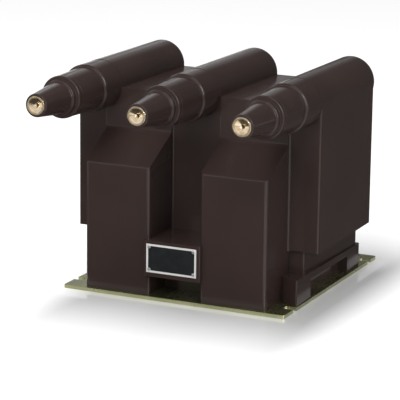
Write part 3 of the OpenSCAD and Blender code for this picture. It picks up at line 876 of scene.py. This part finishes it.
@dataclass
class Bushings(Assembly):
    """The three cone bushings with their seals, sized in millimetres from each tube's front end."""

    length: float = 137
    cone_length: float = 61
    cone_base: float = 22
    cone_tip: float = 16
    tip_round: float = 1.2
    face_proud: float = 1.5
    root_round: float = 1.2
    root_sink: float = 0.12
    small_ring: float = 24.75
    small_ring_length: float = 8
    small_ring_fillet: float = 0.6
    large_ring: float = 29.5
    large_ring_length: float = 8.5
    ring_round: float = 1.8
    groove_length: float = 1.5
    groove_depth: float = 1.0
    groove_round: float = 0.4
    collar_front: float = 29.2
    collar_rear: float = 31
    collar_round: float = 0.6
    spigot: float = 24
    spigot_length: float = 30
    seal_groove: tuple[float, float, float] = (-10.9, -7.1, 21.25)
    face_pocket: Point = (129, 13.1)
    stem_hole: float = 7
    chamber: Point = (43, 17)
    smooth_below: float = 35
    finish: Finish = CastResin()
    seal_finish: Finish = SealRubber()

    def profile(self) -> Profile:
        """Gives the bushing's closed profile.

        Returns:
            Its points, from the spigot's rear edge over the outside to the tip and back through the bore.
        """
        cone_start = self.length - self.cone_length
        ring_start = cone_start - self.small_ring_length
        large_start = ring_start - self.large_ring_length
        groove_start = large_start - self.groove_length
        groove_floor = self.large_ring - self.groove_depth
        tip = self.length - self.face_proud
        seal_rear, seal_front, seal_floor = self.seal_groove
        pocket, pocket_radius = self.face_pocket
        chamber_end, chamber_radius = self.chamber
        bend, lip, fillet = self.ring_round, self.groove_round, self.small_ring_fillet
        tip_bend, root, collar = self.tip_round, self.root_round, self.collar_round
        arc = Workshop.arc
        return [
            (-self.spigot_length, chamber_radius), (-self.spigot_length, self.spigot),
            (seal_rear, self.spigot), (seal_rear, seal_floor),
            (seal_front, seal_floor), (seal_front, self.spigot),
            (0, self.spigot), (0, self.collar_rear - collar),
            *arc(collar, self.collar_rear - collar, collar, -90, 0, 3),
            *arc(groove_start - lip, self.collar_front - lip, lip, 0, 90, 3),
            (groove_start, groove_floor), (large_start, groove_floor),
            *arc(large_start + lip, self.large_ring - lip, lip, -90, 0, 3),
            *arc(ring_start - bend, self.large_ring - bend, bend, 0, 90),
            *arc(ring_start + fillet, self.small_ring + fillet, fillet, 270, 180, 3),
            *arc(cone_start - bend, self.small_ring - bend, bend, 0, 90),
            *arc(cone_start + root, self.cone_base + root - self.root_sink, root, 270, 180, 4),
            *arc(tip - tip_bend, self.cone_tip - tip_bend, tip_bend, 0, 90),
            (tip, pocket_radius), (pocket, pocket_radius), (pocket, self.stem_hole),
            (chamber_end, self.stem_hole), (chamber_end, chamber_radius),
            (-self.spigot_length, chamber_radius),
        ]

    def build(self) -> None:
        """Turns one bushing, copies it to each tube and dresses the seals."""
        names = [f"cone_bushing_{phase}" for phase in PHASES]
        mouths = [self.contact_face(phase) + Vector((0, self.length * MM, 0)) for phase in PHASES]
        first = Workshop.turned(names[0], self.profile(), mouths[0])
        for phase, bushing in zip(PHASES, Workshop.repeated(first, names, mouths)):
            Workshop.smooth(bushing, self.smooth_below)
            self.hand_over(bushing, self.finish, Slot.RESIN, f"bushing_{phase}")
            self.dress_node(f"bushing_seal_{phase}", self.seal_finish)


@dataclass
class Contacts(Assembly):
    """The three brass contacts, sized in millimetres from their faces, with their fuses and leads."""

    face: float = 13.1
    face_thickness: float = 8
    face_round: float = 0.5
    rim: float = 2.4
    rim_round: float = 0.3
    step_depth: float = 0.9
    ledge: float = 0.7
    ledge_drop: Point = (0.25, 0.2)
    dish_depth: float = 4
    socket: float = 2.5
    socket_depth: float = 18
    thread_depth: float = 0.5
    thread_pitch: float = 1.0
    plain_turns: int = 2
    mouth: tuple[float, float, float, float] = (1.0, 0.4, 0.1, 0.4)
    stem: float = 7
    cup: float = 16.5
    cup_bore: float = 14.1
    cup_front: float = 94
    cup_floor: float = 6
    cup_length: float = 24

    def profile(self) -> Profile:
        """Gives the contact's profile, open at the axis.

        Returns:
            Its points, from the socket's floor over the dish and the rim to the cup's floor.
        """
        dish_edge = self.face - self.rim - self.ledge
        socket_end = -self.dish_depth - self.socket_depth
        crest = self.socket + self.thread_depth
        thread = []
        for turn in range(int(self.socket_depth / self.thread_pitch) - self.plain_turns):
            start = socket_end + (turn + 1) * self.thread_pitch
            thread += [(start, self.socket), (start + self.thread_pitch / 2, crest)]
        plain, chamfer, rise, flare = self.mouth
        drop, slope = self.ledge_drop
        cup_end = -self.cup_front - self.cup_length
        cup_floor = -self.cup_front - self.cup_floor
        bend, rim = self.face_round, self.rim_round
        return [
            (socket_end, 0), (socket_end, self.socket), *thread,
            (-self.dish_depth - plain, self.socket), (-self.dish_depth - chamfer, crest),
            (-self.dish_depth + rise, crest + flare),
            (-self.step_depth, dish_edge), (-self.step_depth - drop, dish_edge + slope),
            (-self.step_depth - drop, dish_edge + self.ledge),
            *Workshop.arc(-rim, self.face - self.rim + rim, rim, 180, 90, 3),
            *Workshop.arc(-bend, self.face - bend, bend, 90, 0, 4),
            (-self.face_thickness, self.face), (-self.face_thickness, self.stem),
            (-self.cup_front, self.stem), (-self.cup_front, self.cup), (cup_end, self.cup),
            (cup_end, self.cup_bore), (cup_floor, self.cup_bore), (cup_floor, 0),
        ]

    def build(self) -> None:
        """Turns one contact, copies it to each phase and dresses what stands behind."""
        names = [f"brass_contact_{phase}" for phase in PHASES]
        faces = [self.contact_face(phase) for phase in PHASES]
        first = Workshop.turned(names[0], self.profile(), faces[0])
        for phase, face, contact in zip(PHASES, faces, Workshop.repeated(first, names, faces)):
            brass = TurnedBrass(f"turned_brass_{phase}", face.x, face.z)
            Workshop.smooth(contact)
            self.hand_over(contact, brass, Slot.BRASS, f"contact_{phase}")
            self.dress_node(f"fuse_{phase}", GlazedCeramic())
            self.dress_node(f"fuse_cup_{phase}", brass)
            self.dress_node(f"hv_lead_{phase}", DRAWN_COPPER)


@dataclass
class Windings(Assembly):
    """The cores, windings and secondary leads inside the pillars."""

    def build(self) -> None:
        """Dresses the sealed pieces and the blocks that the windings are cast in."""
        for side in ("left", "right"):
            self.dress_node(f"coil_block_{side}", CastResin())
            self.dress_node(f"core_{side}", StackedSheet())
            self.dress_node(f"primary_winding_{side}", WoundWire())
            self.dress_node(f"secondary_winding_{side}", WoundWire("wound_strip", wire=0.0022))
        self.dress_node("secondary_leads", DRAWN_COPPER)


@dataclass
class Fixings(Assembly):
    """The base plate, its screws and earth stud, and the secondary terminals."""

    plate_edge: float = 0.6 * MM
    small_edge: float = 0.25 * MM
    steel: Finish = PlainMetal("zinc_steel")
    brass: Finish = PlainMetal("plain_brass", (0.86, 0.72, 0.47), (0.72, 0.58, 0.36), 0.26)
    fasteners: tuple[str, ...] = (
        "terminal_screws", "terminal_washers", "plate_screws", "earth_stud", "earth_washer", "earth_nut")

    def build(self) -> None:
        """Builds the plate and the fasteners that show."""
        self.ease("base_plate", "zinc_base_plate", self.plate_edge, PassivatedZinc(), Slot.ZINC_PLATE)
        for node in self.fasteners:
            self.ease(node, "steel_" + node, self.small_edge, self.steel, Slot.BRIGHT_STEEL)
        self.dress_node("plate_inserts", self.steel)
        self.dress_node("terminal_inserts", self.brass)


@dataclass
class Nameplate(Assembly):
    """The bare nameplate on the bridge and its four screws, sized in millimetres."""

    border: float = 2.9
    corner_cut: float = 3.4
    field_depth: float = 0.35
    ink_depth: float = 0.15
    edge: float = 0.12
    screw_inset: float = 4.4
    screw_steps: int = 32
    shank: float = 1.2
    shank_length: float = 5
    head: float = 2.3
    head_height: float = 0.75
    head_round: float = 0.35
    slot_width: float = 0.55
    slot_depth: float = 0.4
    slot_reach: float = 1.5
    first_turn: float = 25
    next_turn: float = 40
    smooth_below: float = 40
    screw_finish: Finish = PlainMetal("nameplate_screw_steel", (0.90, 0.90, 0.90), (0.78, 0.78, 0.79), 0.24)

    def build(self) -> None:
        """Builds the plate and its screws."""
        low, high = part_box("nameplate")
        face = NameplateFace(field_y=low.y + self.ink_depth * MM)
        self.hand_over(self._plate(low, high), face, Slot.NAMEPLATE, "nameplate")
        self.hand_over(self._screws(low, high), self.screw_finish, Slot.BRIGHT_STEEL, "nameplate_screws")

    def _plate(self, low: Vector, high: Vector) -> bpy.types.Object:
        """Models the plate: a sheet whose sunk field has its corners cut off round the screws.

        Args:
            low: The plate's lowest corner.
            high: Its highest corner.

        Returns:
            The plate.
        """
        plate = Workshop.primitive(bpy.ops.mesh.primitive_cube_add, "bare_nameplate", size=1)
        with Workshop.editing(plate):
            bpy.ops.transform.resize(value=tuple(high - low), center_override=(0, 0, 0))
            bpy.ops.transform.translate(value=(low + high) / 2)
        self._pick_front(plate)
        with Workshop.editing(plate, None):
            bpy.ops.mesh.inset(thickness=self.border * MM, depth=0)
            bpy.ops.mesh.bevel(offset=self.corner_cut * MM, segments=1, affect="VERTICES")
        self._pick_front(plate, inner=True)
        with Workshop.editing(plate, None):
            sink = {"value": (0, self.field_depth * MM, 0)}
            bpy.ops.mesh.extrude_region_move(TRANSFORM_OT_translate=sink)
        Workshop.soften(plate, self.edge * MM)
        Workshop.smooth(plate)
        return plate

    @staticmethod
    def _pick_front(plate: bpy.types.Object, inner: bool = False) -> None:
        """Selects the face that looks forward, or the sunk-to-be one inside its border.

        Args:
            plate: The plate, in object mode.
            inner: Whether the face with the most corners is meant.
        """
        with Workshop.editing(plate, "DESELECT"):
            bpy.ops.mesh.select_mode(type="FACE")
        front = [face for face in plate.data.polygons if face.normal.y < FORWARD_NORMAL]
        chosen = max(front, key=lambda face: len(face.vertices) if inner else face.area)
        chosen.select = True

    def _screws(self, low: Vector, high: Vector) -> bpy.types.Object:
        """Models one screw, copies it to the corners, cuts the cross slots and joins the four as one piece.

        Args:
            low: The plate's lowest corner.
            high: Its highest corner.

        Returns:
            The screws.
        """
        inset, bend = self.screw_inset * MM, self.head_round
        places = [Vector((x, low.y, z)) for x in (low.x + inset, high.x - inset)
                  for z in (low.z + inset, high.z - inset)]
        end = -(high.y - low.y) / MM - self.shank_length
        crown = Workshop.arc(self.head_height - bend, self.head - bend, bend, 0, 90, 4)
        profile = [(end, 0), (end, self.shank), (0, self.shank), (0, self.head), *crown, (self.head_height, 0)]
        names = ["nameplate_fixing_screws"] * len(places)
        first = Workshop.turned(names[0], profile, places[0], self.screw_steps)
        screws = Workshop.repeated(first, names, places)
        for number, (screw, centre) in enumerate(zip(screws, places)):
            turn = math.radians(self.first_turn + self.next_turn * number)
            for angle in (turn, turn + math.pi / 2):
                self._slot(screw, centre, angle)
        Workshop.pick(first)
        for screw in screws:
            screw.select_set(True)
        bpy.ops.object.join()
        Workshop.smooth(first, self.smooth_below)
        return first

    def _slot(self, screw: bpy.types.Object, centre: Vector, angle: float) -> None:
        """Cuts a slot across a screw's head.

        Args:
            screw: The screw.
            centre: The middle of the head's underside.
            angle: The slot's turn about the screw, in radians.
        """
        cutter = Workshop.primitive(bpy.ops.mesh.primitive_cube_add, "slot_cutter", size=1)
        with Workshop.editing(cutter):
            size = (self.slot_reach * self.head * MM, 2 * self.slot_depth * MM, self.slot_width * MM)
            bpy.ops.transform.resize(value=size, center_override=(0, 0, 0))
            bpy.ops.transform.rotate(value=angle, orient_axis="Y", center_override=(0, 0, 0))
            bpy.ops.transform.translate(value=centre - Vector((0, self.head_height * MM, 0)))
        cut = screw.modifiers.new("slot", "BOOLEAN")
        cut.operation, cut.object, cut.solver = "DIFFERENCE", cutter, "EXACT"
        Workshop.pick(screw)
        bpy.ops.object.modifier_apply(modifier=cut.name)
        bpy.data.objects.remove(cutter, do_unlink=True)


# Studio


@dataclass(frozen=True)
class Viewpoint:
    """The camera's place and direction."""

    place: Place = (1.2130, -2.6824, 0.8142)
    yaw: float = 25.039
    pitch: float = 13.485
    roll: float = 0.681
    focal_px: float = 2105
    image_px: float = 400
    sensor: float = 36
    clip: Span = (0.1, 60)

    def build(self) -> None:
        """Makes the camera: back is where it stands, seen from the object."""
        yaw, pitch, roll = (math.radians(angle) for angle in (self.yaw, self.pitch, self.roll))
        back = Vector((math.sin(yaw) * math.cos(pitch), -math.cos(yaw) * math.cos(pitch), math.sin(pitch)))
        level = Vector((math.cos(yaw), math.sin(yaw), 0))
        steep = back.cross(level)
        right = level * math.cos(roll) + steep * math.sin(roll)
        up = steep * math.cos(roll) - level * math.sin(roll)
        data = bpy.data.cameras.new("camera")
        data.sensor_width = self.sensor
        data.lens = self.focal_px * self.sensor / self.image_px
        data.clip_start, data.clip_end = self.clip
        camera = bpy.data.objects.new("camera", data)
        turn = Matrix((right, up, back)).transposed().to_4x4()
        camera.matrix_world = Matrix.Translation(Vector(self.place)) @ turn
        bpy.context.scene.collection.objects.link(camera)
        bpy.context.scene.camera = camera


@dataclass(frozen=True)
class Softbox:
    """A rectangular soft light that looks at the object."""

    name: str
    place: Place
    width: float
    height: float
    power: float
    mirrored: bool = True
    spread: bool = True
    aim: Place = (0, -0.05, 0.16)

    def build(self) -> None:
        """Makes the light: gloss shows it where it is mirrored, and it lights matt faces where it is spread."""
        data = bpy.data.lights.new(self.name, "AREA")
        data.shape = "RECTANGLE"
        data.size, data.size_y = self.width, self.height
        data.energy = self.power
        lamp = bpy.data.objects.new(self.name, data)
        lamp.location = self.place
        lamp.visible_glossy = self.mirrored
        lamp.visible_diffuse = self.spread
        lamp.rotation_euler = (Vector(self.place) - Vector(self.aim)).to_track_quat("Z", "Y").to_euler()
        bpy.context.scene.collection.objects.link(lamp)


@dataclass(frozen=True)
class Card:
    """A card that only reflections show: a dark one keeps gloss from going pale, a pale one brightens it."""

    name: str
    low: Place
    high: Place
    tone: float = 0.02

    def build(self) -> None:
        """Makes the card: it fills the flat box between its corners."""
        card = Workshop.primitive(bpy.ops.mesh.primitive_plane_add, self.name, size=1)
        size = Vector(self.high) - Vector(self.low)
        with Workshop.editing(card):
            for axis, flat in (("X", size.y == 0), ("Y", size.x == 0)):
                if flat:
                    bpy.ops.transform.rotate(value=math.pi / 2, orient_axis=axis, center_override=(0, 0, 0))
            bpy.ops.transform.resize(value=size, center_override=(0, 0, 0))
            bpy.ops.transform.translate(value=(Vector(self.high) + Vector(self.low)) / 2)
        material, graph = new_material(self.name)
        graph.surface({
            "Base Color": (self.tone,) * 3, "Roughness": 1.0, "Specular IOR Level": 0.0,
        })
        card.data.materials.append(material)
        card.visible_camera = card.visible_diffuse = card.visible_shadow = False


@dataclass(frozen=True)
class Studio:
    """A white floor and background, soft lights, and cards that the gloss shows."""

    floor_size: float = 14
    floor_drop: float = 0.2 * MM
    floor_white: float = 0.80
    floor_glow: float = 0.48
    mirror_tone: float = 0.9
    mirror_roughness: float = 0.16
    mirror_share: float = 0.84
    mirror_start: float = -0.5
    mirror_reach: float = 0.33
    mirror_sideways: float = 4.0
    mirror_x: Span = (-0.115, 0.20)
    mirror_y: Span = (-0.176, 0.10)
    ambient: float = 0.50

    def build(self) -> None:
        """Makes the floor, the world, the lights, the cards and the camera."""
        self._floor()
        self._world()
        for thing in (*self._lights(), *self._cards()):
            thing.build()
        Viewpoint().build()

    @staticmethod
    def _lights() -> tuple[Softbox, ...]:
        """Gives three lights that no gloss shows, and three that only gloss shows."""
        return (
            Softbox("overhead_softbox", (-0.4, -0.4, 2.6), 1.3, 1.2, 24, mirrored=False),
            Softbox("front_softbox", (0.3, -2.6, 1.8), 1.3, 1.1, 33, mirrored=False),
            Softbox("right_softbox", (1.9, -0.5, 1.5), 1.0, 1.0, 6, mirrored=False),
            Softbox("right_strip", (1.75, -0.90, 1.10), 0.20, 1.2, 20, spread=False),
            Softbox("spark_high", (1.50, -0.80, 1.55), 0.10, 0.10, 3.5, spread=False),
            Softbox("spark_low", (1.80, -0.45, 1.40), 0.10, 0.10, 3.5, spread=False),
        )

    @staticmethod
    def _cards() -> tuple[Card, ...]:
        """Gives the cards, whose tones behind the object grow paler to the left for the tubes' tops."""
        return (
            Card("rear_card", (-1.34, 2.5, 0), (2.6, 2.5, 0.70), 0.10),
            Card("rear_high_card", (-0.35, 2.5, 0.70), (2.6, 2.5, 2.9), 0.10),
            Card("tube_edge_card", (-1.34, 2.45, 0.0), (-1.04, 2.45, 0.58), 0.85),
            Card("tube_bright_card", (-1.34, 2.5, 0.70), (-1.10, 2.5, 2.9), 0.85),
            Card("tube_pale_card", (-1.10, 2.5, 0.70), (-0.85, 2.5, 2.9), 0.56),
            Card("tube_grey_card", (-0.85, 2.5, 0.70), (-0.58, 2.5, 2.9), 0.38),
            Card("tube_dim_card", (-0.58, 2.5, 0.70), (-0.35, 2.5, 2.9), 0.20),
            Card("ceiling_card", (-2.6, -0.5, 2.95), (0.2, 2.5, 2.95)),
            Card("left_rear_card", (-1.47, 2.5, 0), (-1.34, 2.5, 0.56), 0.30),
            Card("upper_left_card", (-2.0, 2.5, 0.56), (-1.34, 2.5, 1.30), 0.50),
            Card("left_floor_card", (-1.6, -0.3, 0.003), (-0.19, 1.2, 0.003), 0.08),
            Card("front_ceiling_card", (-2.6, -3.2, 2.96), (0, -0.5, 2.96), 0.16),
            Card("left_card", (-2.2, -0.8, 0), (-2.2, 2.0, 1.6)),
            Card("right_floor_card", (0.187, -0.17, 0.003), (1.6, 2.5, 0.003), 0.09),
            Card("rear_floor_card", (-0.5, 0.18, 0.003), (0.187, 2.5, 0.003), 0.09),
            Card("front_floor_card", (-0.75, -1.1, 0.003), (0.15, -0.20, 0.003), 0.06),
            Card("far_floor_card", (-2.5, -3.4, 0.004), (0.9, -1.1, 0.004), 0.35),
        )

    @staticmethod
    def _seen(graph: Graph) -> Value:
        """Gives 1 where the camera, a reflection or a clear body looks, and 0 for the rest.

        Args:
            graph: The graph to work in.

        Returns:
            The mask.
        """
        path = graph.node("LightPath")
        rays = [Value(graph, path.outputs[f"Is {kind} Ray"]) for kind in ("Camera", "Glossy", "Transmission")]
        return rays[0].largest(rays[1]).largest(rays[2])

    def _floor(self) -> None:
        """Makes the floor: white, with the object's shadow, and a reflection that fades ahead of the plate."""
        floor = Workshop.primitive(bpy.ops.mesh.primitive_plane_add, "studio_floor",
                                   size=self.floor_size, location=(0, 0, -self.floor_drop))
        material, graph = new_material("studio_floor")
        paper = graph.shader({
            "Base Color": (self.floor_white,) * 3, "Roughness": 1.0, "Specular IOR Level": 0.0,
            "Emission Color": graph.blend(self._seen(graph), (0, 0, 0), (1, 1, 1)),
            "Emission Strength": self.floor_glow,
        })
        gloss = graph.shader({
            "Base Color": (self.mirror_tone,) * 3, "Metallic": 1.0, "Roughness": self.mirror_roughness,
        })
        x, y, _ = graph.axes()
        away = (self.mirror_sideways * x.outside(*self.mirror_x)).hypot(y.outside(*self.mirror_y))
        fade = away.step(self.mirror_start * self.mirror_reach, self.mirror_reach)
        share = self.mirror_share * (1 - fade)
        graph.end(graph.node("MixShader", None, {0: share, 1: paper, 2: gloss}).outputs[0])
        floor.data.materials.append(material)

    def _world(self) -> None:
        """Makes the world: white where it is seen, and a plain grey light elsewhere."""
        world = bpy.data.worlds.new("studio_world")
        world.use_nodes = True
        bpy.context.scene.world = world
        graph = Graph(world.node_tree)
        colour = graph.blend(self._seen(graph), (self.ambient,) * 3, (1.0, 1.0, 1.0))
        background = graph.node("Background", None, {"Color": colour, "Strength": 1.0})
        graph.end(background.outputs[0], "OutputWorld")


def main() -> None:
    """Builds the studio and every sub-assembly in order."""
    logging.basicConfig(level=logging.INFO, format="%(message)s")
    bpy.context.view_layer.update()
    bpy.context.scene.view_settings.view_transform = "Standard"
    Studio().build()
    for assembly in (Casting(), Bushings(), Contacts(), Windings(), Fixings(), Nameplate()):
        log.info("building %s", type(assembly).__name__)
        assembly.build()


if __name__ == "__main__":
    main()
